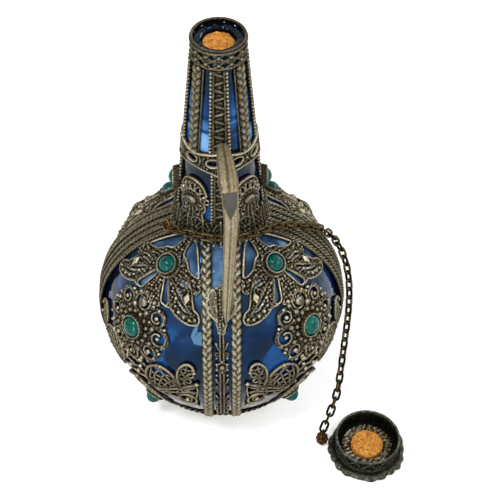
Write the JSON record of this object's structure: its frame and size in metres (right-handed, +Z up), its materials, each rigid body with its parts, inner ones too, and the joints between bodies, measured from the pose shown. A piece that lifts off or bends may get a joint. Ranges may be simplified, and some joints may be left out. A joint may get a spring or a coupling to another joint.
{
  "type": "filigree-cased glass bottle",
  "caption": "Round blue glass bottle with a tall neck in a pierced braided metal case set with stones, with a cork, a loop handle and a corked cap on a chain.",
  "frame": {"origin": "centre of the base dish's underside, on the table", "axes": "+Z up along the neck; -Y towards the handle; +X to the side where the cap lies"},
  "size_m": [0.1325, 0.1203, 0.1866],
  "materials": {
    "blue_glass": "clear cobalt glass",
    "tarnished_silver": "tarnished filigree",
    "pale_silver": "worn and fluted",
    "teal_stone": "polished cabochon",
    "cork": "rough cork",
    "dark_pewter": "dark tarnish",
    "rusty_lug": "rough granulated",
    "chain_brass": "antique",
    "bronze_ring": "orange bronze"
  },
  "bodies": {
    "bottle": {"glass_flask": "blue_glass", "base_dish": "tarnished_silver", "lower_hoop": "tarnished_silver", "front_braids": "tarnished_silver", "right_braids": "tarnished_silver", "back_braids": "tarnished_silver", "left_braids": "tarnished_silver", "right_rope": "tarnished_silver", "left_rope": "tarnished_silver", "front_rod": "tarnished_silver", "back_rod": "tarnished_silver", "leaf_spray_front_right": "tarnished_silver", "leaf_spray_front_left": "tarnished_silver", "leaf_spray_back_right": "tarnished_silver", "leaf_spray_back_left": "tarnished_silver", "flower_front_right": "tarnished_silver", "flower_front_left": "tarnished_silver", "flower_back_right": "tarnished_silver", "flower_back_left": "tarnished_silver", "scroll_fans_front_right": "tarnished_silver", "scroll_fans_front_left": "tarnished_silver", "scroll_fans_back_right": "tarnished_silver", "scroll_fans_back_left": "tarnished_silver", "lower_pads": "tarnished_silver", "upper_bezels": "tarnished_silver", "flower_bezels": "tarnished_silver", "lower_bezels": "tarnished_silver", "neck_bezels": "tarnished_silver", "front_ladder": "tarnished_silver", "right_ladder": "tarnished_silver", "back_ladder": "tarnished_silver", "left_ladder": "tarnished_silver", "neck_braid_front_right": "tarnished_silver", "neck_braid_front_left": "tarnished_silver", "neck_braid_back_right": "tarnished_silver", "neck_braid_back_left": "tarnished_silver", "crown_band": "tarnished_silver", "rosette_front_right": "tarnished_silver", "rosette_front_left": "tarnished_silver", "rosette_back_right": "tarnished_silver", "rosette_back_left": "tarnished_silver", "leaf_skirt": "tarnished_silver", "neck_collar": "tarnished_silver", "handle_pad": "tarnished_silver", "upper_stones": "teal_stone", "flower_stones": "teal_stone", "lower_stones": "teal_stone", "neck_stones": "teal_stone", "handle": "pale_silver", "chain_links": "chain_brass", "end_ring": "chain_brass", "chain_staple": "chain_brass", "anchor_ring": "bronze_ring"},
    "cork": {"neck_cork": "cork"},
    "cap": {"cap_flange": "dark_pewter", "cap_skirt": "dark_pewter", "cap_liner": "dark_pewter", "cap_cork": "cork", "cap_lug": "rusty_lug"}
  },
  "joints": [
    {"name": "cork_pull", "type": "slide", "parent": "bottle", "child": "cork", "axis": [0, 0, 1], "range_m": [0, 0.03]},
    {"name": "cap_tilt", "type": "hinge", "parent": "bottle", "child": "cap", "pos_m": [0.04325, -0.04626, 0.0043], "axis": [-0.2028, -0.9792, 0], "range_deg": [0, 35]}
  ]
}
